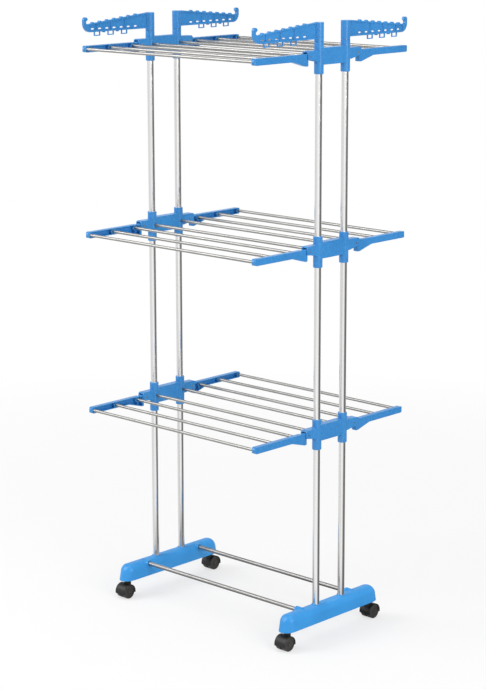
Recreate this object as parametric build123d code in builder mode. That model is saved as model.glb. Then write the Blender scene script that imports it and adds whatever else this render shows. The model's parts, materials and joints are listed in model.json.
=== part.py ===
"""Clothes drying rack on castors, in millimetres.

Two plastic feet and four steel posts carry three tiers. Each tier has a connector at either end
and two wings of rods that fold down about pins in the connectors. Four hanger arms swivel on
tube stubs above the top tier. X runs along the rods, Y along the wings, and Z is up from the floor.
"""

import os

from build123d import *

os.makedirs("parts", exist_ok=True)

# ---- the rack as a whole ----
bracket_x = 315.0           # from the middle to the plane of each foot, its posts and its arms
post_y = 53.0               # from the middle to each post of a pair
wing_reach = 307.0          # from the middle to the tip of a wing
tier_heights = {"bottom": 589.0, "middle": 1091.0, "top": 1604.0}
running = 0.08              # radial clearance of a pin or a tube that something turns on
seat = 0.3                  # gap between moving faces
socket_fit = 0.05           # radial clearance of a tube pushed into its socket
edge_break = 0.8            # chamfer round the ends of collars and sleeves

# ---- tubes, rods and pins ----
post_r = 9.5
post_wall = 1.0
rod_r = 4.25
rod_wall = 0.7
base_rod_r = 6.0
base_rod_wall = 0.8
pin_r = 2.5

# ---- feet ----
foot_bottom = 54.0
foot_height = 45.0
foot_width = 48.0
foot_reach = 196.0          # from the middle to the end of the foot, along its bottom edge
foot_nose = 45.0            # how far the nose slopes back to the level top
foot_toe = 4.0              # upright band at the end of the nose
foot_lean = 0.3             # how far the nose leans back where it leaves the toe, per unit up
foot_wall = 3.0
foot_round = 19.0           # rounding of the long top edges
foot_end_round = 22.0       # rounding of the ends, seen from above
boss_wall = 4.0
foot_socket_floor = 10.0    # from the foot's bottom edge to the floor of a post socket
post_ring = 1.5             # height of the ring round a post on top of the foot
post_ring_wall = 2.5
rib_wall = 2.0
rib_rise = 12.0             # from the foot's bottom edge up to its ribs
rib_places = (0.0, 26.0, 80.0, 128.0, 150.0)
base_rod_y = 105.0
base_rod_z = 91.0
base_rod_depth = 24.0
base_rod_collar = 2.0       # how far its socket stands out from the inner side of the foot

# ---- castors ----
wheel_r = 20.0
wheel_width = 15.0
wheel_bevel = 2.0
wheel_dish = 2.0            # depth of the recess in the outer side of a wheel
wheel_rim = 4.0
wheel_hub_r = 6.0
castor_width = 37.0
castor_height = foot_bottom - seat
castor_inset = 25.0         # from the end of a foot in to the castor stem
castor_y = foot_reach - castor_inset
trail = 9.0                 # from the stem to the axle, level
stem_r = 4.0
stem_in_hood = 7.7
stem_in_foot = 26.0
axle_r = 3.0
hood_wall = 2.2
hood_skirt = 5.0            # how far the hood reaches down past the axle
wheel_gap = 0.8             # between a tread and the hood round it
neck_r = 10.0
neck_bottom = 30.0
plate_r = 14.0
plate_height = 3.5

# ---- connectors ----
connector_reach = 107.0
connector_width = 21.0
connector_half = 22.0       # half of its height between the collars
connector_end_top = 16.5    # height of its open ends above the tier's centre line
connector_end = 5.0         # how far its end reaches below the tier's centre line
connector_slope = 13.0      # how far its flank reaches below the centre line at the collar
connector_corner = 6.0
connector_roof = 3.3
connector_wall = 3.0
channel_inset = 1.5         # wall left between a collar and the channel beside it
pocket_ribs = 2             # across the pocket between the collars
collar_r = 12.75
collar_above = 38.0
collar_below = 46.0
web_half = 6.5              # half of the solid web between the two sockets of a collar
tie_rod_depth = 12.0

# ---- wing arms ----
arm_width = 14.0
arm_height = 18.0
pin_y = 95.0
pin_above = 2.0             # height of the hinge pin above the tier's centre line
root_r = 10.0
heel_y = 102.0
heel_drop = 14.0            # how far the heel reaches below the arm
heel_flat = 9.0
heel_taper = 50.0
heel_round = 2.5
taper_round = 30.0          # where the heel's slope runs out into the arm
notch_y = 114.0             # finger notch in the top of the arm, just outside the connector
notch_r = 9.0
notch_depth = 2.5
tip_round = 6.0             # rounding of the tip, seen from above
rod_count = 3
rod_first = 128.0           # from the middle to the innermost rod of a wing
rod_tip = arm_height / 2    # from the tip of a wing to its outermost rod
rod_step = (wing_reach - rod_tip - rod_first) / (rod_count - 1)
rod_places = [rod_first + number * rod_step for number in range(rod_count)]
rod_depth = 9.0
arm_wall = 2.2              # round the channel in the inner side of an arm
channel_start = 109.0       # from the middle to the inner end of that channel
boss_r = 7.2                # of the boss round a rod's socket

# ---- snap hinge: a nub on the arm's root runs in a curved track inside the connector ----
track_r = 8.0               # from the hinge pin to the middle of the track
track_depth = 1.4
nub_r = 1.6
nub_height = 1.1
nub_taper = 15.0            # degrees
track_width = 2 * (nub_r + seat)
click_depth = 0.4           # the extra depth of the click seat at each end of the track

# ---- hanger arms ----
sleeve_r = 12.75
sleeve_height = 50.0
sleeve_cap = 3.5
stub_height = 80.0          # top of the tube stub above the tier's centre line
panel_width = 8.0
panel_web = 3.2             # thickness of the panel inside its rim, and of its loops
panel_rim = 4.0
panel_root = 43.5
panel_tip = 23.0
panel_slope_from = 14.0
panel_slope_to = 228.0
hanger_reach = 306.0        # from the middle to the outside of the end hook
hook_height = 41.0
hook_thickness = 8.0
hook_bend = 24.0            # outer radius of the bend up to the hook
hook_lip = 7.0              # half the width of the hook's lip
hook_throat_r = 5.0         # rounding inside the hook, and the depth of its lip's undercut
ridge_count = 7
ridge_pitch = 27.0
ridge_first = 57.0
ridge_r = 5.0
ridge_height = 3.3
slot_length = 13.0
slot_height = 4.0
slot_above = 8.5
loop_width = 22.0
loop_drop = 11.0
loop_bar = 2.5
loop_places = (100.0, 151.0, 202.0)
knob_places = (126.0, 177.0)
knob_r = 3.0

sides = {"front": -1, "back": 1}      # along Y
ends = {"left": -1, "right": 1}       # along X


def save(shape, name):
    """Label a finished piece and write it."""
    shape.label = name
    export_step(shape, f"parts/{name}.step")


def along_y(end, z=0.0):
    """Upright plane through one pair of posts: local x is world Y, local y is world Z."""
    return Plane(origin=(end * bracket_x, 0, z), x_dir=(0, 1, 0), z_dir=(1, 0, 0))


def outward(end, side, z=0.0):
    """The same plane with local x running away from the middle on the given side."""
    return Plane(origin=(end * bracket_x, 0, z), x_dir=(0, side, 0), z_dir=(side, 0, 0))


def centred(plane, thickness):
    """The plane moved back by half a thickness, so that an extrusion from it is centred."""
    return plane.offset(-thickness / 2)


def along_x(x, z=0.0):
    """Plane across the rods: local x is world Y, local y is world Z, and its normal is world X."""
    return Plane(origin=(x, 0, z), x_dir=(0, 1, 0), z_dir=(1, 0, 0))


def facing(end, face, distance, z):
    """Plane at a distance from an arm's middle plane that faces away from it on the given side.

    Local x is world Y times face, and local y is world Z.
    """
    return Plane(
        origin=(end * bracket_x + face * distance, 0, z), x_dir=(0, face, 0), z_dir=(face, 0, 0)
    )


# ---- feet ----
def foot_form(end, inset):
    """Outer form of a foot, or the hollow in it where inset is the wall."""
    top = foot_height - inset
    reach = foot_reach - inset
    half = foot_width / 2 - inset
    side_plane = centred(along_y(end, foot_bottom), foot_width)
    with BuildPart() as form:
        # side view: level top and a sloping, rounded nose at each end
        with BuildSketch(side_plane):
            with BuildLine():
                Line((-reach, 0), (reach, 0))
                Line((reach, 0), (reach, foot_toe))
                TangentArc((reach, foot_toe), (reach - foot_nose, top), tangent=(-foot_lean, 1))
                Line((reach - foot_nose, top), (foot_nose - reach, top))
                TangentArc((-reach, foot_toe), (foot_nose - reach, top), tangent=(foot_lean, 1))
                Line((-reach, foot_toe), (-reach, 0))
            make_face()
        extrude(amount=foot_width)
        # end view: rounded shoulders
        with BuildSketch(Plane.XZ.offset(-foot_reach)) as end_view:
            with Locations((end * bracket_x, foot_bottom + top / 2)):
                Rectangle(2 * half, top)
            fillet(end_view.vertices().group_by(Axis.Y)[-1], radius=foot_round - inset)
        extrude(amount=2 * foot_reach, mode=Mode.INTERSECT)
        # plan: rounded ends
        with BuildSketch(Plane.XY.offset(foot_bottom)):
            with Locations((end * bracket_x, 0)):
                RectangleRounded(2 * half, 2 * reach, foot_end_round - inset)
        extrude(amount=foot_height, mode=Mode.INTERSECT)
    return form.part


def foot_core(end, outer_form):
    """The bosses round the posts and castor stems, and the ribs between them, under the roof."""
    posts = ((end * bracket_x, -post_y), (end * bracket_x, post_y))
    castors = ((end * bracket_x, -castor_y), (end * bracket_x, castor_y))
    with BuildPart() as core:
        with BuildSketch(Plane.XY.offset(foot_bottom)):
            with Locations(*posts):
                Circle(post_r + boss_wall)
            with Locations(*castors):
                Circle(stem_r + boss_wall)
        extrude(amount=foot_height)
        with BuildSketch(Plane.XY.offset(foot_bottom + rib_rise)):
            for place in rib_places:
                with Locations((end * bracket_x, -place), (end * bracket_x, place)):
                    Rectangle(foot_width, rib_wall)
            with Locations((end * bracket_x, 0)):
                Rectangle(rib_wall, 2 * castor_y)
        extrude(amount=foot_height)
        add(outer_form, mode=Mode.INTERSECT)
    return core.part


def foot(end):
    """Inverted channel with sloping noses, ribs, post sockets, castor bosses and rod sockets."""
    inner_face = bracket_x - foot_width / 2
    outer_form = foot_form(end, 0)
    hollow = foot_form(end, foot_wall)
    core = foot_core(end, outer_form)
    posts = ((end * bracket_x, -post_y), (end * bracket_x, post_y))
    base_rods = ((-base_rod_y, base_rod_z), (base_rod_y, base_rod_z))
    with BuildPart() as piece:
        add(outer_form)
        add(hollow, mode=Mode.SUBTRACT)
        add(core)
        # ring that stands round each post on the crowned top
        with BuildSketch(Plane.XY.offset(foot_bottom + foot_height - foot_wall)):
            with Locations(*posts):
                Circle(post_r + post_ring_wall)
        extrude(amount=foot_wall + post_ring)
        # sockets for the base rods, standing slightly proud of the shoulder
        with BuildSketch(along_x(end * (inner_face - base_rod_collar))):
            with Locations(*base_rods):
                Circle(base_rod_r + boss_wall)
        extrude(amount=end * (base_rod_depth + base_rod_collar))
        with BuildSketch(Plane.XY.offset(foot_bottom + foot_socket_floor)):
            with Locations(*posts):
                Circle(post_r + socket_fit)
        extrude(amount=foot_height + post_ring, mode=Mode.SUBTRACT)
        with BuildSketch(Plane.XY.offset(foot_bottom)):
            with Locations((end * bracket_x, -castor_y), (end * bracket_x, castor_y)):
                Circle(stem_r + socket_fit)
        extrude(amount=stem_in_foot, mode=Mode.SUBTRACT)
        with BuildSketch(along_x(end * (inner_face - base_rod_collar))):
            with Locations(*base_rods):
                Circle(base_rod_r + socket_fit)
        extrude(amount=end * (base_rod_depth + base_rod_collar - foot_wall), mode=Mode.SUBTRACT)
    return piece.part


for end_name, end in ends.items():
    save(foot(end), f"foot_{end_name}")


# ---- base rods ----
for side_name, side in sides.items():
    rod_end = bracket_x - foot_width / 2 + base_rod_depth - foot_wall
    with BuildPart() as base_rod:
        with BuildSketch(along_x(-rod_end)):
            with Locations((side * base_rod_y, base_rod_z)):
                Circle(base_rod_r)
                Circle(base_rod_r - base_rod_wall, mode=Mode.SUBTRACT)
        extrude(amount=2 * rod_end)
    save(base_rod.part, f"base_rod_{side_name}")


# ---- posts: three sections each, stacked through the connectors ----
foot_seat = foot_bottom + foot_socket_floor
levels = list(tier_heights.values())
section_ends = {
    "lower": (foot_seat, levels[0] - web_half),
    "middle": (levels[0] + web_half, levels[1] - web_half),
    "upper": (levels[1] + web_half, levels[2] - web_half),
}


def tube(x, y, low, high):
    """One upright length of post tube."""
    with BuildPart() as piece:
        with BuildSketch(Plane.XY.offset(low)):
            with Locations((x, y)):
                Circle(post_r)
                Circle(post_r - post_wall, mode=Mode.SUBTRACT)
        extrude(amount=high - low)
    return piece.part


for end_name, end in ends.items():
    for side_name, side in sides.items():
        for section, (low, high) in section_ends.items():
            piece = tube(end * bracket_x, side * post_y, low, high)
            save(piece, f"post_{section}_{end_name}_{side_name}")


# ---- connectors ----
def barrels(places, radius, low, high):
    """Solid upright barrels for collars and sleeves, with chamfered ends."""
    with BuildPart() as piece:
        with BuildSketch(Plane.XY.offset(low)):
            with Locations(*places):
                Circle(radius)
        extrude(amount=high - low)
        chamfer(piece.edges().filter_by(GeomType.CIRCLE), length=edge_break)
    return piece.part


def connector(end, z):
    """Moulded crosspiece with two collars for the posts and an open channel at each end."""
    channel_half = arm_width / 2 + seat
    channel_start = post_y + collar_r + channel_inset
    channel_end = connector_reach + root_r
    channel_middle = (channel_start + channel_end) / 2
    pocket_length = 2 * (post_y - collar_r)
    cell = (pocket_length - pocket_ribs * rib_wall) / (pocket_ribs + 1)
    posts = ((end * bracket_x, -post_y), (end * bracket_x, post_y))
    collars = barrels(posts, collar_r, z - collar_below, z + collar_above)
    with BuildPart() as piece:
        with BuildSketch(centred(along_y(end, z), connector_width)) as flank:
            for side in sides.values():
                with BuildLine():
                    Polyline(
                        (0, connector_end_top),
                        (side * connector_reach, connector_end_top),
                        (side * connector_reach, -connector_end),
                        (side * (post_y + collar_r), -connector_slope),
                        (0, -connector_slope),
                        close=True,
                    )
                make_face()
            top_points = flank.vertices().group_by(Axis.Y)[-1].sort_by(Axis.X)
            fillet([top_points[0], top_points[-1]], radius=connector_corner)
            Rectangle(2 * post_y, 2 * connector_half)
        extrude(amount=connector_width)
        add(collars)
        # open channels for the arms, and the ribbed pocket between the collars
        with BuildSketch(Plane.XY.offset(z - connector_half)):
            with Locations((end * bracket_x, 0)):
                with GridLocations(0, cell + rib_wall, 1, pocket_ribs + 1):
                    Rectangle(connector_width - 2 * connector_wall, cell)
        extrude(amount=2 * connector_half - connector_roof, mode=Mode.SUBTRACT)
        with BuildSketch(Plane.XY.offset(z - connector_half)):
            for side in sides.values():
                with Locations((end * bracket_x, side * channel_middle)):
                    Rectangle(2 * channel_half, channel_end - channel_start)
        extrude(amount=connector_half + connector_end_top - connector_roof, mode=Mode.SUBTRACT)
        # post sockets above and below the web
        for low, height in ((z - collar_below, collar_below - web_half), (z + web_half, collar_above)):
            with BuildSketch(Plane.XY.offset(low)):
                with Locations(*posts):
                    Circle(post_r + socket_fit)
            extrude(amount=height, mode=Mode.SUBTRACT)
        # tie rod sockets in the inner side of the webs
        with BuildSketch(along_x(end * (bracket_x - collar_r), z)):
            with Locations((-post_y, 0), (post_y, 0)):
                Circle(rod_r + socket_fit)
        extrude(amount=end * tie_rod_depth, mode=Mode.SUBTRACT)
        # hinge pin holes
        with BuildSketch(centred(along_y(end, z), connector_width)):
            with Locations((-pin_y, pin_above), (pin_y, pin_above)):
                Circle(pin_r + socket_fit)
        extrude(amount=connector_width, mode=Mode.SUBTRACT)
        # quarter-turn track for the nub of each arm, with a deeper click seat at each end
        for side in sides.values():
            hinge = Vector(-end * side * pin_y, pin_above)
            start = 90 if end * side > 0 else 0
            track = CenterArc(hinge, track_r, start, 90, mode=Mode.PRIVATE)
            with BuildSketch(facing(end, -end, channel_half, z)):
                SlotArc(track, track_width)
            extrude(amount=track_depth, mode=Mode.SUBTRACT)
            with BuildSketch(facing(end, -end, channel_half, z)):
                with Locations(track @ 0, track @ 1):
                    Circle(track_width / 2)
            extrude(amount=track_depth + click_depth, mode=Mode.SUBTRACT)
    return piece.part


for level, z in tier_heights.items():
    for end_name, end in ends.items():
        save(connector(end, z), f"connector_{level}_{end_name}")


# ---- tie rods, hinge pins and hanger stubs ----
tie_end = bracket_x - collar_r + tie_rod_depth
with BuildPart() as tie_rods:
    for z in tier_heights.values():
        with BuildSketch(along_x(-tie_end, z)):
            with Locations((-post_y, 0), (post_y, 0)):
                Circle(rod_r)
                Circle(rod_r - rod_wall, mode=Mode.SUBTRACT)
        extrude(amount=2 * tie_end)
save(tie_rods.part, "tie_rods")

with BuildPart() as hinge_pins:
    for z in tier_heights.values():
        for end in ends.values():
            with BuildSketch(centred(along_y(end, z), connector_width)):
                with Locations((-pin_y, pin_above), (pin_y, pin_above)):
                    Circle(pin_r)
            extrude(amount=connector_width)
save(hinge_pins.part, "hinge_pins")

with BuildPart() as hanger_stubs:
    with BuildSketch(Plane.XY.offset(levels[2] + web_half)):
        with GridLocations(2 * bracket_x, 2 * post_y, 2, 2):
            Circle(post_r)
            Circle(post_r - post_wall, mode=Mode.SUBTRACT)
    extrude(amount=stub_height - web_half)
save(hanger_stubs.part, "hanger_stubs")


# ---- wings ----
def wing_arm(end, side, z):
    """Arm of a wing: round root on the hinge pin, wedge heel below it, bar and rounded tip."""
    half = arm_height / 2
    heel_bottom = -half - heel_drop
    heel_end = heel_y + heel_flat
    taper_end = heel_end + heel_taper
    notch_half = (notch_r**2 - (notch_r - notch_depth) ** 2) ** 0.5
    with BuildPart() as piece:
        with BuildSketch(centred(outward(end, side, z), arm_width)) as profile:
            with BuildLine():
                Line((pin_y, half), (notch_y - notch_half, half))
                ThreePointArc(
                    (notch_y - notch_half, half),
                    (notch_y, half - notch_depth),
                    (notch_y + notch_half, half),
                )
                Line((notch_y + notch_half, half), (wing_reach - half, half))
                ThreePointArc((wing_reach - half, half), (wing_reach, 0), (wing_reach - half, -half))
                Polyline(
                    (wing_reach - half, -half),
                    (taper_end, -half),
                    (heel_end, heel_bottom),
                    (heel_y, heel_bottom),
                    (heel_y, pin_above),
                    (pin_y, pin_above),
                    (pin_y, half),
                )
            make_face()
            heel_corners = profile.vertices().group_by(Axis.Y)[0]
            fillet(heel_corners, radius=heel_round)
            taper_corner = profile.vertices().sort_by_distance((taper_end, -half))[0]
            fillet(taper_corner, radius=taper_round)
            with Locations((pin_y, pin_above)):
                Circle(root_r)
        extrude(amount=arm_width)
        # plan: rounded tip
        with BuildSketch(Plane.XY.offset(z + heel_bottom)) as plan:
            with Locations((end * bracket_x, side * wing_reach / 2)):
                Rectangle(arm_width, wing_reach)
            tip_corners = plan.vertices().sort_by_distance((end * bracket_x, side * wing_reach))[:2]
            fillet(tip_corners, radius=tip_round)
        extrude(amount=heel_drop + arm_height + root_r, mode=Mode.INTERSECT)
        # the inner side is an open channel, with a round boss and a web at each rod
        with BuildSketch(outward(end, side, z).offset(-end * side * arm_width / 2)):
            with Locations(((channel_start + rod_places[-1]) / 2, 0)):
                Rectangle(rod_places[-1] - channel_start, 2 * (arm_height + heel_drop))
            offset(profile.sketch_local, amount=-arm_wall, mode=Mode.INTERSECT)
            for place in rod_places:
                with Locations((place, 0)):
                    Circle(boss_r, mode=Mode.SUBTRACT)
                    Rectangle(rib_wall, 2 * (arm_height + heel_drop), mode=Mode.SUBTRACT)
        extrude(amount=end * side * (arm_width - arm_wall), mode=Mode.SUBTRACT)
        # blind sockets for the rods in the inner face
        with BuildSketch(along_x(end * (bracket_x - arm_width / 2), z)):
            for place in rod_places:
                with Locations((side * place, 0)):
                    Circle(rod_r + socket_fit)
        extrude(amount=end * rod_depth, mode=Mode.SUBTRACT)
        with BuildSketch(centred(outward(end, side, z), arm_width)):
            with Locations((pin_y, pin_above)):
                Circle(pin_r + running)
        extrude(amount=arm_width, mode=Mode.SUBTRACT)
        # nub that clicks into the track of the connector
        with BuildSketch(facing(end, -end, arm_width / 2, z)):
            with Locations((-end * side * pin_y, pin_above + track_r)):
                Circle(nub_r)
        extrude(amount=nub_height, taper=nub_taper)
    return piece.part


def wing_rods(side, z):
    """The three rods of one wing."""
    rod_end = bracket_x - arm_width / 2 + rod_depth
    with BuildPart() as piece:
        with BuildSketch(along_x(-rod_end, z)):
            for place in rod_places:
                with Locations((side * place, 0)):
                    Circle(rod_r)
                    Circle(rod_r - rod_wall, mode=Mode.SUBTRACT)
        extrude(amount=2 * rod_end)
    return piece.part


for level, z in tier_heights.items():
    for side_name, side in sides.items():
        save(wing_rods(side, z), f"wing_rods_{level}_{side_name}")
        for end_name, end in ends.items():
            save(wing_arm(end, side, z), f"wing_arm_{level}_{side_name}_{end_name}")


# ---- hanger arms ----
def hanger_arm(end, side):
    """Sleeve over a tube stub, with a ribbed, tapering panel that ends in an upturned hook."""
    sleeve_bottom = levels[2] + collar_above + seat
    sleeve_top = sleeve_bottom + sleeve_height
    panel_bottom = sleeve_top - panel_root
    hook_end = hanger_reach - post_y
    hook_foot = hook_end - hook_thickness
    lip_start = hook_height - hook_lip
    crotch = hook_foot - hook_throat_r
    slope = (panel_root - panel_tip) / (panel_slope_to - panel_slope_from)
    ridges = [ridge_first + number * ridge_pitch for number in range(ridge_count)]
    recess_ends = [(near + far) / 2 for near, far in zip(ridges[1::2], ridges[2::2])]
    recess_ends.append(crotch - hook_throat_r)
    # local x runs from the post axis outward, local y up from the panel's bottom edge
    flat_plane = Plane(
        origin=(end * bracket_x, side * post_y, panel_bottom), x_dir=(0, side, 0), z_dir=(side, 0, 0)
    )

    def edge_height(place):
        """Height of the sloping top edge at a distance from the post axis."""
        return panel_root - slope * (place - panel_slope_from)

    throat_top = edge_height(crotch) + hook_throat_r
    sleeve = barrels([(end * bracket_x, side * post_y)], sleeve_r, sleeve_bottom, sleeve_top)
    with BuildPart() as piece:
        with BuildSketch(centred(flat_plane, panel_width)):
            with BuildLine():
                Line((0, 0), (hook_end - hook_bend, 0))
                TangentArc((hook_end - hook_bend, 0), (hook_end, hook_bend), tangent=(1, 0))
                Line((hook_end, hook_bend), (hook_end, lip_start))
                TangentArc((hook_end, lip_start), (hook_end - 2 * hook_lip, lip_start), tangent=(0, 1))
                Line((hook_end - 2 * hook_lip, lip_start), (hook_foot, lip_start - hook_throat_r))
                Line((hook_foot, lip_start - hook_throat_r), (hook_foot, throat_top))
                TangentArc((hook_foot, throat_top), (crotch, edge_height(crotch)), tangent=(0, -1))
                Polyline(
                    (crotch, edge_height(crotch)),
                    (panel_slope_from, panel_root),
                    (0, panel_root),
                    (0, 0),
                )
            make_face()
            for place in ridges:
                with Locations((place, edge_height(place) + ridge_height - ridge_r)):
                    Circle(ridge_r)
            for place in knob_places:
                with Locations((place, 0)):
                    Circle(knob_r)
        extrude(amount=panel_width)
        # the panel is thinner inside its rim, with upright ribs left between its recesses
        for face in (-1, 1):
            inner = sleeve_r + rib_wall
            for outer in recess_ends:
                with BuildSketch(flat_plane.offset(face * panel_web / 2)):
                    with BuildLine():
                        Polyline(
                            (inner, panel_rim),
                            (outer, panel_rim),
                            (outer, edge_height(outer) - panel_rim),
                            (inner, edge_height(inner) - panel_rim),
                            close=True,
                        )
                    make_face()
                extrude(amount=face * panel_width, mode=Mode.SUBTRACT)
                inner = outer + rib_wall
        # thin loops below the panel
        with BuildSketch(centred(flat_plane, panel_web)):
            for place in loop_places:
                with Locations((place, (panel_rim - loop_drop) / 2)):
                    Rectangle(loop_width, panel_rim + loop_drop)
        extrude(amount=panel_web)
        with BuildSketch(centred(flat_plane, panel_width)):
            for place in loop_places:
                with Locations((place, (loop_bar - loop_drop) / 2)):
                    Rectangle(loop_width - 2 * loop_bar, loop_drop - loop_bar)
            for place in ridges:
                with Locations((place, slot_above)):
                    SlotOverall(slot_length, slot_height)
        extrude(amount=panel_width, mode=Mode.SUBTRACT)
        add(sleeve)
        with BuildSketch(Plane.XY.offset(sleeve_bottom)):
            with Locations((end * bracket_x, side * post_y)):
                Circle(post_r + running)
        extrude(amount=sleeve_height - sleeve_cap, mode=Mode.SUBTRACT)
    return piece.part


for end_name, end in ends.items():
    for side_name, side in sides.items():
        save(hanger_arm(end, side), f"hanger_arm_{end_name}_{side_name}")


# ---- castors ----
def castor_hood(end, side):
    """Swivelling hood: a web between the wheels, a fender over them and a neck for the stem."""
    axle_y = castor_y + trail
    fender_r = wheel_r + wheel_gap + hood_wall
    space_r = wheel_r + wheel_gap
    web = castor_width - 2 * wheel_width
    centre = outward(end, side, wheel_r)
    with BuildPart() as piece:
        with BuildSketch(centred(centre, castor_width)):
            with Locations((axle_y, 0)):
                Circle(fender_r)
            with Locations((axle_y, -fender_r - hood_skirt)):
                Rectangle(2 * fender_r, 2 * fender_r, mode=Mode.SUBTRACT)
            with Locations((axle_y, 0)):
                Circle(axle_r + boss_wall)
        extrude(amount=castor_width)
        with BuildSketch(Plane.XY.offset(neck_bottom)):
            with Locations((end * bracket_x, side * castor_y)):
                Circle(neck_r)
        extrude(amount=castor_height - neck_bottom)
        with BuildSketch(Plane.XY.offset(castor_height - plate_height)):
            with Locations((end * bracket_x, side * castor_y)):
                Circle(plate_r)
        extrude(amount=plate_height)
        # the wheels turn in the two spaces either side of the web
        for face in (-1, 1):
            with BuildSketch(centre.offset(face * (web / 2 - seat))):
                with Locations((axle_y, 0)):
                    Circle(space_r)
            extrude(amount=face * castor_width, mode=Mode.SUBTRACT)
        with BuildSketch(centred(centre, castor_width)):
            with Locations((axle_y, 0)):
                Circle(axle_r + running)
        extrude(amount=castor_width, mode=Mode.SUBTRACT)
        with BuildSketch(Plane.XY.offset(castor_height - stem_in_hood - seat)):
            with Locations((end * bracket_x, side * castor_y)):
                Circle(stem_r + running)
        extrude(amount=castor_height, mode=Mode.SUBTRACT)
    return piece.part


def castor_wheels(end, side):
    """Two dished wheels on one axle, with bevelled outer shoulders and a raised hub."""
    axle_y = castor_y + trail
    web = castor_width - 2 * wheel_width
    centre = outward(end, side, wheel_r)
    with BuildPart() as piece:
        for face in (-1, 1):
            with BuildSketch(centre.offset(face * web / 2)):
                with Locations((axle_y, 0)):
                    Circle(wheel_r)
            extrude(amount=face * wheel_width)
        treads = piece.edges().filter_by(GeomType.CIRCLE).sort_by(Axis.X)
        chamfer([treads[0], treads[-1]], length=wheel_bevel)
        for face in (-1, 1):
            with BuildSketch(centre.offset(face * (castor_width / 2 - wheel_dish))):
                with Locations((axle_y, 0)):
                    Circle(wheel_r - wheel_rim)
                    Circle(wheel_hub_r, mode=Mode.SUBTRACT)
            extrude(amount=face * wheel_dish, mode=Mode.SUBTRACT)
        with BuildSketch(centred(centre, castor_width)):
            with Locations((axle_y, 0)):
                Circle(axle_r)
        extrude(amount=castor_width, mode=Mode.SUBTRACT)
    return piece.part


def castor_axle(end, side):
    """Steel axle pressed into both wheels."""
    axle_length = castor_width - 2 * hood_wall
    with BuildPart() as piece:
        with BuildSketch(centred(outward(end, side, wheel_r), axle_length)):
            with Locations((castor_y + trail, 0)):
                Circle(axle_r)
        extrude(amount=axle_length)
    return piece.part


for end_name, end in ends.items():
    for side_name, side in sides.items():
        save(castor_hood(end, side), f"castor_hood_{end_name}_{side_name}")
        save(castor_wheels(end, side), f"castor_wheels_{end_name}_{side_name}")
        save(castor_axle(end, side), f"castor_axle_{end_name}_{side_name}")

with BuildPart() as castor_stems:
    stem_bottom = castor_height - stem_in_hood
    with BuildSketch(Plane.XY.offset(stem_bottom)):
        with GridLocations(2 * bracket_x, 2 * castor_y, 2, 2):
            Circle(stem_r)
    extrude(amount=foot_bottom + stem_in_foot - stem_bottom)
save(castor_stems.part, "castor_stems")
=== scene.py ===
"""Looks of the clothes drying rack, in metres: materials, domed feet, studio light and camera."""

import json
import math

import bmesh
import bpy
import numpy as np
from mathutils import Matrix, Vector


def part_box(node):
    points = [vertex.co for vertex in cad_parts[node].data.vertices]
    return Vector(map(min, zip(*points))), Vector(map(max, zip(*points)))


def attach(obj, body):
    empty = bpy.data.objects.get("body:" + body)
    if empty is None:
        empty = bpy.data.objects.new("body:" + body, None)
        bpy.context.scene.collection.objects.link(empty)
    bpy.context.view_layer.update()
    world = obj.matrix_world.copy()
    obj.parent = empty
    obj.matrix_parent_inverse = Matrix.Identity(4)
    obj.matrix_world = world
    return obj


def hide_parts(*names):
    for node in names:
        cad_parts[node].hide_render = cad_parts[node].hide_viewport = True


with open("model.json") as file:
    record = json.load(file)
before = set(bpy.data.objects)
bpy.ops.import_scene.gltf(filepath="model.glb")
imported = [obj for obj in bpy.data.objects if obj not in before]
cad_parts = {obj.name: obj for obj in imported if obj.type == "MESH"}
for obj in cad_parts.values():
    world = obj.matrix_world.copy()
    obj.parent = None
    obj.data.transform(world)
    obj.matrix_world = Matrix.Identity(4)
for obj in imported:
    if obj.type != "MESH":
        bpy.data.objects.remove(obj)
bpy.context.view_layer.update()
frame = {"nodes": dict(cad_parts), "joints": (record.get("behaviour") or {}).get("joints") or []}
nodes = frame["nodes"]
scene = bpy.context.scene

# ---- the camera ----
IMAGE_WIDTH = 486
IMAGE_HEIGHT = 689
FOCAL_PIXELS = 2073.2                        # fitted to the photo, as are the camera's place and turns
SENSOR = 36.0                                # millimetres on the longer side
CAMERA_AZIMUTH = math.radians(43.28)
CAMERA_ELEVATION = math.radians(12.59)
CAMERA_ROLL = math.radians(-0.134)
CAMERA_PLACE = Vector((3.897, -4.148, 2.049))

# ---- the studio ----
FLOOR_HALF = 60.0
FLOOR_COLOUR = (0.86, 0.86, 0.86, 1)
FLOOR_ROUGHNESS = 0.9
FLOOR_GLOW = 0.62                            # share of the floor's white that has no shadow
GLOW_FADE = (0.8, 3.0)                       # between these distances that share grows to all
WORLD_LIGHT = 0.45                           # even light from all round
DARK_SIDE = Vector((0.76, 0.65, 0.0))        # where the unlit side of the studio lies
DARK_LEVEL = 0.18                            # of the floor on that side
DARK_SKY = 0.70                              # and of the wall above it
DIM_LEVEL = 0.80                             # of the side across from it
CEILING_LEVEL = 0.35                         # of the ceiling, as a share of the wall below it
SKYLIGHT = 0.90                              # the same above the unlit side
PAINTED_SHADE_LEVEL = 0.42                           # painted shade of the floor under the rack, as reflections see it
PAINTED_SHADE_FADE = (0.25, 0.7)                     # between these distances the painted shade ends
DARK_EDGE = (0.55, 0.82)                     # between these cosines with DARK_SIDE it gets dark,
SKYLIGHT_EDGE = (0.2, 0.7)                   # the ceiling gets light
DIM_EDGE = (-0.9, -0.3)                      # and the dim side ends
CEILING_EDGE = (0.15, 0.6)                   # between these heights of a direction the ceiling starts

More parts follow.
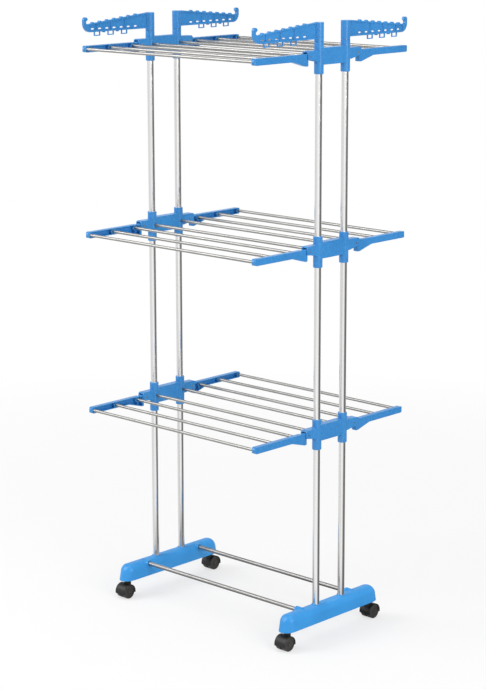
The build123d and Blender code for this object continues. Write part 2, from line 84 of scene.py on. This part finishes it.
# ---- textures, with scales in waves per metre ----
MOST_NOISE = (0.3, 0.7)                      # most of a noise's values lie between these
HIGH_NOISE = (0.35, 0.7)                     # the same without its lowest
PEAK_NOISE = (0.62, 0.74)                    # its peaks alone
MOST_OF_TWO = (0.7, 1.3)                     # most values of two noises added up
BEVEL_SAMPLES = 6
EDGE_LIKENESS = (0.99, 0.85)                 # of the rounded normal to the flat one: off and on an edge
DRIFT_SCALE = 11.0                           # shade of a moulding
POLISH_SCALE = 70.0
FLOW_SCALE = 42.0                            # slow waves in a moulded face
FLOW_BUMP = (0.25, 0.0004)                   # bumps are a strength and a depth
SKIN_STRENGTH = 0.2
WEAR_SCALE = 55.0
WEAR_SHARE = (0.15, 0.75)                    # of an edge that is rubbed, least and most
WEAR_ROUGHNESS = 0.12                        # what rubbing adds
PLASTIC_IOR = 1.48
LINE_SCALES = (900.0, 5.0)                   # lines of drawn steel: across the tube and along it
LINE_BUMP = (0.12, 0.00006)
BAND_SCALES = (260.0, 1.5)                   # its broader bands
CLOUD_SCALE = 38.0                           # its cloudy polish
MARK_SCALE = 210.0                           # its handling marks
MARK_BUMP = (0.2, 0.00005)
MARK_ROUGHNESS = 0.15                        # what marks add
DUST_SCALE = 160.0
DUST_SHARE = (0.1, 0.8)                      # of a tread that dust covers, least and most
DUST_COLOUR = (0.11, 0.105, 0.095)
MIX_LOW, MIX_HIGH, MIX_RESULT = 6, 7, 2      # a Mix node's sockets for colours

# ---- wheels, for the dust on their treads ----
AXLE = Vector(next(joint["pos_m"] for joint in frame["joints"] if joint["name"].endswith("_roll")))
WHEEL_RADIUS = AXLE.z                        # as the wheels stand on the floor
TREAD_DEPTH = 0.0015                         # how far in from the rim the dust starts
TREAD_FADE = 0.001

# ---- the feet, for their domed noses: the CAD foot's sizes, then the dome's ----
ACROSS, ALONG, UP = Matrix.Identity(3)       # a foot's directions: X, Y and Z
foot_low, foot_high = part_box("foot_right")
FOOT_BOTTOM = foot_low.z
FOOT_REACH = foot_high.y
FOOT_HALF = 0.024                            # half the width
FOOT_X = foot_high.x - FOOT_HALF
FOOT_HEIGHT = 0.045                          # of the level top, from the bottom
FOOT_ROUND = 0.019                           # of the long top edges
FOOT_END_ROUND = 0.022                       # of the solid's ends, seen from above
FOOT_NOSE = 0.045                            # how far the solid's nose slopes back
FOOT_TOE = 0.004                             # upright band at the end of the solid's nose
FOOT_LEAN = 0.30                             # how far it leans back where it leaves the toe, per unit up
DOME_START = 0.165                           # of the dome at its bottom, from the foot's middle
DOME_LEAN = 0.30                             # how far the dome leans back, per unit up
SHELL_DEPTH = 0.0045                         # how deep under its face the moved shell goes
SHELL_FADE = 0.002                           # and how much deeper the move dies out
FINE_LENGTH = 0.055                          # of the fine mesh at each end, a little more than the slope
FINE_STEP = 0.003                            # between the cuts that make it fine
FINE_START = FOOT_REACH - FINE_LENGTH
WELD = 1e-6                                  # nearer corners of the CAD's mesh are one
CUT_WELD = 1e-7                              # nearer to a cut, a corner lies on it
CUT_SLACK = 1e-5                             # how far short of its start the fine mesh may begin
SLOPE_NUDGE = 1e-5                           # to measure how fast a distance grows
LEAST_LENGTH = 1e-9                          # so that nothing is divided by zero
LEAST_SLOPE = 0.2                            # squared, so that no move runs away
MOVE_ROUNDS = 12
LONGEST_MOVE = 0.002                         # in one round
ON_SHELL = 0.0002                            # nearer to the domed form, a corner lies on it
SAME_WAY = 0.9                               # cosine above which two directions agree
CREASE = math.radians(32)


# ---- small helpers for node trees ----
def new_material(name):
    """A node material, its tree and its Principled shader."""
    material = bpy.data.materials.new(name)
    material.use_nodes = True
    tree = material.node_tree
    return material, tree, tree.nodes["Principled BSDF"]


def feed(tree, socket, value):
    """Gives a socket a link or a constant."""
    if isinstance(value, bpy.types.NodeSocket):
        tree.links.new(value, socket)
    else:
        socket.default_value = value


def maths(tree, operation, first, second):
    """A Math node's output."""
    node = tree.nodes.new("ShaderNodeMath")
    node.operation = operation
    feed(tree, node.inputs[0], first)
    feed(tree, node.inputs[1], second)
    return node.outputs[0]


def vector_maths(tree, operation, first, second=(0, 0, 0)):
    """A Vector Math node, from which the caller takes Vector or Value."""
    node = tree.nodes.new("ShaderNodeVectorMath")
    node.operation = operation
    feed(tree, node.inputs[0], first)
    feed(tree, node.inputs[1], second)
    return node


def spread(tree, source, start, end, low, high):
    """A number that goes from low to high as source goes from start to end, and no further."""
    node = tree.nodes.new("ShaderNodeMapRange")
    feed(tree, node.inputs["Value"], source)
    node.inputs["From Min"].default_value = start
    node.inputs["From Max"].default_value = end
    feed(tree, node.inputs["To Min"], low)
    feed(tree, node.inputs["To Max"], high)
    return node.outputs["Result"]


def object_place(tree):
    """Place on the rack at rest, in metres."""
    return tree.nodes.new("ShaderNodeTexCoord").outputs["Object"]


def noise(tree, scale, detail, stretch=(1, 1, 1)):
    """Noise that stays on the piece, with its scale multiplied along each axis."""
    node = tree.nodes.new("ShaderNodeTexNoise")
    node.inputs["Scale"].default_value = scale
    node.inputs["Detail"].default_value = detail
    feed(tree, node.inputs["Vector"],
         vector_maths(tree, "MULTIPLY", object_place(tree), stretch).outputs["Vector"])
    return node.outputs["Fac"]


def blend_colours(tree, factor, low, high):
    """The colour between two, each of which may be a link."""
    node = tree.nodes.new("ShaderNodeMix")
    node.data_type = "RGBA"
    feed(tree, node.inputs["Factor"], factor)
    for socket, colour in ((MIX_LOW, low), (MIX_HIGH, high)):
        is_link = isinstance(colour, bpy.types.NodeSocket)
        feed(tree, node.inputs[socket], colour if is_link else (*colour, 1))
    return node.outputs[MIX_RESULT]


def bump(tree, height, strength, distance, normal=None):
    """A Bump node's normal, on top of another normal where one is given."""
    node = tree.nodes.new("ShaderNodeBump")
    node.inputs["Strength"].default_value = strength
    node.inputs["Distance"].default_value = distance
    feed(tree, node.inputs["Height"], height)
    if normal is not None:
        feed(tree, node.inputs["Normal"], normal)
    return node.outputs["Normal"]


def soft_edges(tree, radius):
    """The normal with moulded edges rounded off, and how near an edge the point is, 0 to 1."""
    rounded = tree.nodes.new("ShaderNodeBevel")
    rounded.samples = BEVEL_SAMPLES
    rounded.inputs["Radius"].default_value = radius
    flat = tree.nodes.new("ShaderNodeNewGeometry").outputs["Normal"]
    likeness = vector_maths(tree, "DOT_PRODUCT", rounded.outputs["Normal"], flat).outputs["Value"]
    return rounded.outputs["Normal"], spread(tree, likeness, *EDGE_LIKENESS, 0.0, 1.0)


# ---- materials ----
def plastic(name, dark, light, worn, roughness, edge_radius, grain, grain_depth):
    """Moulded plastic: shade drift, uneven polish, skin texture, rounded and rubbed edges."""
    material, tree, shader = new_material(name)
    normal, edge = soft_edges(tree, edge_radius)
    drift = spread(tree, noise(tree, DRIFT_SCALE, detail=4.0), *MOST_NOISE, 0.0, 1.0)
    wear = spread(tree, noise(tree, WEAR_SCALE, detail=4.0), *HIGH_NOISE, *WEAR_SHARE)
    rubbed = maths(tree, "MULTIPLY", edge, wear)
    colour = blend_colours(tree, drift, dark, light)
    tree.links.new(blend_colours(tree, rubbed, colour, worn), shader.inputs["Base Color"])
    polish = spread(tree, noise(tree, POLISH_SCALE, detail=6.0), *MOST_NOISE, *roughness)
    dulled = maths(tree, "MULTIPLY", rubbed, WEAR_ROUGHNESS)
    tree.links.new(maths(tree, "ADD", polish, dulled), shader.inputs["Roughness"])
    flow = bump(tree, noise(tree, FLOW_SCALE, detail=1.0), *FLOW_BUMP, normal)
    skin = bump(tree, noise(tree, grain, detail=1.5), SKIN_STRENGTH, grain_depth, flow)
    tree.links.new(skin, shader.inputs["Normal"])
    shader.inputs["IOR"].default_value = PLASTIC_IOR
    return material


def stretched(scales, along):
    """Scales along X, Y and Z, from the one across a tube and the one along it."""
    crosswise, lengthwise = scales
    return [lengthwise if axis == along else crosswise for axis in "xyz"]


def steel(name, dark, light, along, roughness):
    """Drawn and polished tube: lines along it, cloudy polish and a few fine handling marks."""
    material, tree, shader = new_material(name)
    lines = noise(tree, 1.0, detail=4.0, stretch=stretched(LINE_SCALES, along))
    bands = noise(tree, 1.0, detail=2.0, stretch=stretched(BAND_SCALES, along))
    clouds = noise(tree, CLOUD_SCALE, detail=5.0)
    marks = spread(tree, noise(tree, MARK_SCALE, detail=8.0), *PEAK_NOISE, 0.0, 1.0)
    tone = spread(tree, maths(tree, "ADD", lines, bands), *MOST_OF_TWO, 0.0, 1.0)
    shader.inputs["Metallic"].default_value = 1.0
    tree.links.new(blend_colours(tree, tone, dark, light), shader.inputs["Base Color"])
    polish = spread(tree, clouds, *MOST_NOISE, *roughness)
    dulled = maths(tree, "MULTIPLY", marks, MARK_ROUGHNESS)
    tree.links.new(maths(tree, "ADD", polish, dulled), shader.inputs["Roughness"])
    drawn = bump(tree, lines, *LINE_BUMP)
    tree.links.new(bump(tree, marks, *MARK_BUMP, drawn), shader.inputs["Normal"])
    return material


def dust_treads(material):
    """Floor dust on the rolling faces of the wheels, which dulls their colour."""
    tree = material.node_tree
    place = vector_maths(tree, "ABSOLUTE", object_place(tree)).outputs["Vector"]
    axle = (0, abs(AXLE.y), AXLE.z)
    from_axle = vector_maths(tree, "SUBTRACT", place, axle).outputs["Vector"]
    in_plane = vector_maths(tree, "MULTIPLY", from_axle, (0, 1, 1)).outputs["Vector"]
    reach = vector_maths(tree, "LENGTH", in_plane).outputs["Value"]
    tread_start = WHEEL_RADIUS - TREAD_DEPTH
    tread = spread(tree, reach, tread_start, tread_start + TREAD_FADE, 0.0, 1.0)
    cover = spread(tree, noise(tree, DUST_SCALE, detail=6.0), *HIGH_NOISE, *DUST_SHARE)
    dust = maths(tree, "MULTIPLY", tread, cover)
    socket = tree.nodes["Principled BSDF"].inputs["Base Color"]
    clean = socket.links[0].from_socket
    tree.links.new(blend_colours(tree, dust, clean, DUST_COLOUR), socket)


blue = plastic("blue_plastic", dark=(0.033, 0.228, 0.56), light=(0.043, 0.268, 0.64),
               worn=(0.10, 0.42, 0.79), roughness=(0.22, 0.32), edge_radius=0.0012,
               grain=700.0, grain_depth=0.00003)
# the feet's blue is a lighter copy of the blue plastic: painted light for the more light that falls on
# the feet
blue_foot_painted_light = plastic("blue_foot_painted_light", dark=(0.028, 0.288, 0.70), light=(0.037, 0.334, 0.785),
                    worn=(0.10, 0.45, 0.86), roughness=(0.33, 0.43), edge_radius=0.0012,
                    grain=500.0, grain_depth=0.00004)
black = plastic("black_plastic", dark=(0.010, 0.010, 0.010), light=(0.019, 0.018, 0.018),
                worn=(0.06, 0.06, 0.058), roughness=(0.40, 0.55), edge_radius=0.0008,
                grain=1300.0, grain_depth=0.0001)
wheel = plastic("wheel_plastic", dark=(0.030, 0.028, 0.026), light=(0.052, 0.049, 0.045),
                worn=(0.10, 0.095, 0.085), roughness=(0.48, 0.62), edge_radius=0.0008,
                grain=900.0, grain_depth=0.0001)
dust_treads(wheel)
upright = steel("steel_upright", dark=(0.78, 0.775, 0.77), light=(0.93, 0.925, 0.92),
                along="z", roughness=(0.10, 0.20))
base_rail = steel("steel_base_rail", dark=(0.32, 0.315, 0.31), light=(0.44, 0.435, 0.425),
                  along="x", roughness=(0.38, 0.50))
rod = steel("steel_rod", dark=(0.30, 0.295, 0.285), light=(0.43, 0.425, 0.41),
            along="x", roughness=(0.36, 0.48))
pin = steel("steel_pin", dark=(0.42, 0.42, 0.41), light=(0.60, 0.60, 0.59),
            along="y", roughness=(0.28, 0.42))

FINISHES = (
    ("foot_", blue_foot_painted_light),
    ("connector_", blue),
    ("wing_arm_", blue),
    ("hanger_arm_", blue),
    ("post_", upright),
    ("hanger_stubs", upright),
    ("base_rod_", base_rail),
    ("tie_rods", rod),
    ("wing_rods_", rod),
    ("castor_hood_", black),
    ("castor_wheels_", wheel),
    ("castor_axle_", pin),
    ("castor_stems", pin),
    ("hinge_pins", pin),
)


def finish_of(node_name):
    """The material of a CAD node."""
    for start, material in FINISHES:
        if node_name.startswith(start):
            return material
    raise ValueError(f"no material for {node_name}")


for node_name, node in nodes.items():
    for material_slot in node.material_slots:
        material_slot.material = finish_of(node_name)


# ---- feet ----
def nose_arc():
    """Side view of the CAD foot's nose: the arc's middle, from the foot's bottom, and radius."""
    inwards = np.array((-1.0, -FOOT_LEAN)) / math.hypot(1.0, FOOT_LEAN)
    chord = np.array((-FOOT_NOSE, FOOT_HEIGHT - FOOT_TOE))
    radius = chord @ chord / (2 * chord @ inwards)
    return np.array((FOOT_REACH, FOOT_TOE)) + radius * inwards, radius


def corner_distance(across, up, radius):
    """Distance outside a rounded corner, from how far a point is past each of its sides."""
    over = np.stack((across + radius, up + radius))
    outside = np.linalg.norm(np.maximum(over, 0.0), axis=0)
    return outside + np.minimum(over.max(axis=0), 0.0) - radius


def solid_distance(points):
    """How far points lie outside the CAD foot: level top, arc nose, rounded shoulders and ends."""
    across = np.abs(np.abs(points[:, 0]) - FOOT_X) - FOOT_HALF
    along = np.abs(points[:, 1])
    up = points[:, 2] - FOOT_BOTTOM
    middle, radius = nose_arc()
    arc = np.hypot(np.maximum(along - middle[0], 0.0), up - middle[1]) - radius
    nose = np.where(up < FOOT_TOE, along - FOOT_REACH, arc)
    shoulder = corner_distance(across, up - FOOT_HEIGHT, FOOT_ROUND)
    plan = corner_distance(across, along - FOOT_REACH, FOOT_END_ROUND)
    return np.maximum(np.maximum(shoulder, plan), nose)


def domed_distance(points):
    """The same for a foot whose shoulders turn round its ends as a leaning dome."""
    across = np.abs(points[:, 0]) - FOOT_X
    up = points[:, 2] - FOOT_BOTTOM
    height = np.clip(up, 0.0, FOOT_HEIGHT)
    length = FOOT_REACH - DOME_START - DOME_LEAN * height
    past = np.maximum(np.abs(points[:, 1]) - DOME_START, 0.0) * FOOT_HALF / length
    return corner_distance(np.hypot(across, past) - FOOT_HALF, up - FOOT_HEIGHT, FOOT_ROUND)


def domed_slope(points):
    """Which way the domed form's distance grows, and how fast."""
    growth = [domed_distance(points + step) - domed_distance(points - step)
              for step in np.eye(3) * SLOPE_NUDGE]
    return np.stack(growth, axis=1) / (2 * SLOPE_NUDGE)


def moved_to_dome(points):
    """The shell's points at the same depth under the domed form as they had under the solid's."""
    depth = solid_distance(points)
    share = np.clip((depth + SHELL_DEPTH) / SHELL_FADE + 1.0, 0.0, 1.0)
    share *= np.abs(points[:, 1]) > FINE_START
    moved = points.copy()
    for _ in range(MOVE_ROUNDS):
        miss = domed_distance(moved) - depth
        slope = domed_slope(moved)
        travel = miss / np.maximum((slope * slope).sum(axis=1), LEAST_SLOPE)
        moved -= slope * np.clip(travel, -LONGEST_MOVE, LONGEST_MOVE)[:, None]
    moved[:, 2] = np.maximum(moved[:, 2], np.minimum(points[:, 2], FOOT_BOTTOM))
    return points + (moved - points) * share[:, None]


def cut(shape, faces, axis, place):
    """Cuts those faces of a mesh by the plane square to an axis at that place on it."""
    edges = [edge for face in faces for edge in face.edges]
    corners = [corner for face in faces for corner in face.verts]
    once_each = list(dict.fromkeys([*faces, *edges, *corners]))
    bmesh.ops.bisect_plane(shape, geom=once_each, dist=CUT_WELD, plane_co=axis * place, plane_no=axis)


def cut_noses(shape, axis, place):
    """Cuts only the faces that lie wholly in the noses."""
    faces = [face for face in shape.faces
             if all(abs(corner.co.y) > FINE_START - CUT_SLACK for corner in face.verts)]
    cut(shape, faces, axis, place)


def fine_foot(node_name, middle):
    """The CAD foot's mesh with fine noses."""
    shape = bmesh.new()
    shape.from_mesh(nodes[node_name].data)
    bmesh.ops.remove_doubles(shape, verts=shape.verts, dist=WELD)
    for end in (1, -1):
        cut(shape, shape.faces[:], ALONG, end * FINE_START)
    for along in np.arange(FINE_START + FINE_STEP, FOOT_REACH, FINE_STEP):
        for end in (1, -1):
            cut_noses(shape, ALONG, end * along)
    for across in np.arange(FINE_STEP / 2, FOOT_HALF, FINE_STEP):
        for side in (1, -1):
            cut_noses(shape, ACROSS, middle + side * across)
    for up in np.arange(FINE_STEP, FOOT_HEIGHT, FINE_STEP):
        cut_noses(shape, UP, FOOT_BOTTOM + up)
    bmesh.ops.triangulate(shape, faces=shape.faces)
    return shape


def read(elements, what, width, kind=float):
    """One property of a mesh's elements, as an array with a row for each element."""
    values = np.empty(len(elements) * width, dtype=kind)
    elements.foreach_get(what, values)
    return values.reshape(-1, width)


def smooth_shell(mesh):
    """Normals of the outer shell from the domed form itself, so that long faces stay clean."""
    points = read(mesh.vertices, "co", 3)
    slope = domed_slope(points)
    slope /= np.maximum(np.linalg.norm(slope, axis=1), LEAST_LENGTH)[:, None]
    on_shell = np.abs(domed_distance(points)) < ON_SHELL
    corners = read(mesh.loops, "vertex_index", 1, int)[:, 0]
    face_sizes = read(mesh.polygons, "loop_total", 1, int)[:, 0]
    flat = np.repeat(read(mesh.polygons, "normal", 3), face_sizes, axis=0)
    agree = on_shell[corners] & ((slope[corners] * flat).sum(axis=1) > SAME_WAY)
    mesh.normals_split_custom_set(np.where(agree[:, None], slope[corners], 0.0).tolist())


def make_foot(node_name, middle):
    """A foot whose noses are domes, on a fine copy of the CAD foot's mesh."""
    shape = fine_foot(node_name, middle)
    points = np.array([corner.co for corner in shape.verts])
    for corner, point in zip(shape.verts, moved_to_dome(points)):
        corner.co = point
    mesh = bpy.data.meshes.new(node_name + "_domed")
    shape.to_mesh(mesh)
    shape.free()
    mesh.shade_smooth()
    mesh.set_sharp_from_angle(angle=CREASE)
    smooth_shell(mesh)
    mesh.materials.append(blue_foot_painted_light)
    foot = bpy.data.objects.new(node_name + "_domed", mesh)
    scene.collection.objects.link(foot)
    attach(foot, "frame")
    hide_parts(node_name)


make_foot("foot_left", -FOOT_X)
make_foot("foot_right", FOOT_X)


# ---- studio ----
def studio_level(tree, direction, darkest):
    """How light the studio looks in that direction: white, with one unlit side and a dim ceiling."""
    flat = vector_maths(tree, "MULTIPLY", direction, (1, 1, 0)).outputs["Vector"]
    level = vector_maths(tree, "NORMALIZE", flat).outputs["Vector"]
    dark_side = DARK_SIDE.normalized()
    towards_dark = vector_maths(tree, "DOT_PRODUCT", level, dark_side).outputs["Value"]
    dark = spread(tree, towards_dark, *DARK_EDGE, 1.0, darkest)
    dim = spread(tree, towards_dark, *DIM_EDGE, DIM_LEVEL, 1.0)
    side = maths(tree, "MULTIPLY", dark, dim)
    unit = vector_maths(tree, "NORMALIZE", direction).outputs["Vector"]
    height = tree.nodes.new("ShaderNodeSeparateXYZ")
    tree.links.new(unit, height.inputs[0])
    ceiling = spread(tree, towards_dark, *SKYLIGHT_EDGE, CEILING_LEVEL, SKYLIGHT)
    above = spread(tree, height.outputs["Z"], *CEILING_EDGE, 1.0, ceiling)
    return maths(tree, "MULTIPLY", side, above)


def reflected(tree, rays):
    """1 for a ray that a glossy or clear surface sent, and 0 for the rest."""
    return maths(tree, "MAXIMUM", rays.outputs["Is Glossy Ray"], rays.outputs["Is Transmission Ray"])


def make_floor():
    """A wide pale floor: white to the camera, with the rack's soft shadow near the rack; in reflections
    it only glows, with a painted shade under the rack.
    """
    corners = [(x * FLOOR_HALF, y * FLOOR_HALF, 0) for x, y in ((-1, -1), (1, -1), (1, 1), (-1, 1))]
    mesh = bpy.data.meshes.new("floor")
    mesh.from_pydata(corners, [], [(0, 1, 2, 3)])
    floor = bpy.data.objects.new("floor", mesh)
    scene.collection.objects.link(floor)
    material, tree, shader = new_material("floor")
    shader.inputs["Base Color"].default_value = FLOOR_COLOUR
    shader.inputs["Roughness"].default_value = FLOOR_ROUGHNESS
    shader.inputs["Specular IOR Level"].default_value = 0.0
    rays = tree.nodes.new("ShaderNodeLightPath")
    place = tree.nodes.new("ShaderNodeNewGeometry").outputs["Position"]
    far = vector_maths(tree, "LENGTH", place).outputs["Value"]
    glow_share = maths(tree, "MULTIPLY", rays.outputs["Is Camera Ray"],
                       spread(tree, far, *GLOW_FADE, FLOOR_GLOW, 1.0))
    share = maths(tree, "MAXIMUM", glow_share, reflected(tree, rays))
    # in reflections the floor only glows at the studio's levels, darkened under the rack by a painted
    # shade in place of the rack's own shadow
    in_reflections = maths(tree, "MULTIPLY", studio_level(tree, place, DARK_LEVEL),
                           spread(tree, far, *PAINTED_SHADE_FADE, PAINTED_SHADE_LEVEL, 1.0))
    strength = maths(tree, "MAXIMUM", rays.outputs["Is Camera Ray"], in_reflections)
    glow = tree.nodes.new("ShaderNodeEmission")
    tree.links.new(strength, glow.inputs["Strength"])
    both = tree.nodes.new("ShaderNodeMixShader")
    tree.links.new(share, both.inputs[0])
    tree.links.new(shader.outputs[0], both.inputs[1])
    tree.links.new(glow.outputs[0], both.inputs[2])
    tree.links.new(both.outputs[0], tree.nodes["Material Output"].inputs["Surface"])
    mesh.materials.append(material)


def make_world():
    """Even surroundings as light, white to the camera, and the studio in reflections."""
    world = bpy.data.worlds.new("studio")
    scene.world = world
    world.use_nodes = True
    tree = world.node_tree
    rays = tree.nodes.new("ShaderNodeLightPath")
    direction = tree.nodes.new("ShaderNodeTexCoord").outputs["Generated"]
    as_light = spread(tree, reflected(tree, rays), 0.0, 1.0, WORLD_LIGHT,
                      studio_level(tree, direction, DARK_SKY))
    tree.links.new(maths(tree, "MAXIMUM", rays.outputs["Is Camera Ray"], as_light),
                   tree.nodes["Background"].inputs["Strength"])
    tree.nodes["Background"].inputs["Color"].default_value = (1, 1, 1, 1)


def softbox(name, place, target, size, power):
    """A square area lamp that faces a point."""
    lamp = bpy.data.lights.new(name, "AREA")
    lamp.shape = "SQUARE"
    lamp.size = size
    lamp.energy = power
    lamp_object = bpy.data.objects.new(name, lamp)
    lamp_object.location = place
    direction = Vector(target) - Vector(place)
    lamp_object.rotation_euler = direction.to_track_quat("-Z", "Y").to_euler()
    scene.collection.objects.link(lamp_object)


make_floor()
make_world()
softbox("key", place=(-2.6, -2.9, 3.3), target=(0, 0, 0.7), size=2.6, power=120)
softbox("fill", place=(4.4, -0.9, 2.6), target=(0, 0, 0.9), size=2.6, power=110)
softbox("top", place=(0, 0, 5.0), target=(0, 0, 0.9), size=3.0, power=60)


# ---- camera ----
def make_camera(azimuth, elevation, roll):
    """The photograph's camera."""
    back = Vector((math.sin(azimuth) * math.cos(elevation),
                   -math.cos(azimuth) * math.cos(elevation),
                   math.sin(elevation)))
    level = Vector((math.cos(azimuth), math.sin(azimuth), 0))
    upright_axis = back.cross(level)
    right = math.cos(roll) * level + math.sin(roll) * upright_axis
    up = math.cos(roll) * upright_axis - math.sin(roll) * level
    camera = bpy.data.cameras.new("camera")
    camera.sensor_width = SENSOR
    camera.lens = FOCAL_PIXELS * SENSOR / max(IMAGE_WIDTH, IMAGE_HEIGHT)
    camera_object = bpy.data.objects.new("camera", camera)
    turn = Matrix((right, up, back)).transposed()
    camera_object.matrix_world = Matrix.Translation(CAMERA_PLACE) @ turn.to_4x4()
    scene.collection.objects.link(camera_object)
    scene.camera = camera_object


make_camera(CAMERA_AZIMUTH, CAMERA_ELEVATION, CAMERA_ROLL)
scene.view_settings.view_transform = "Standard"
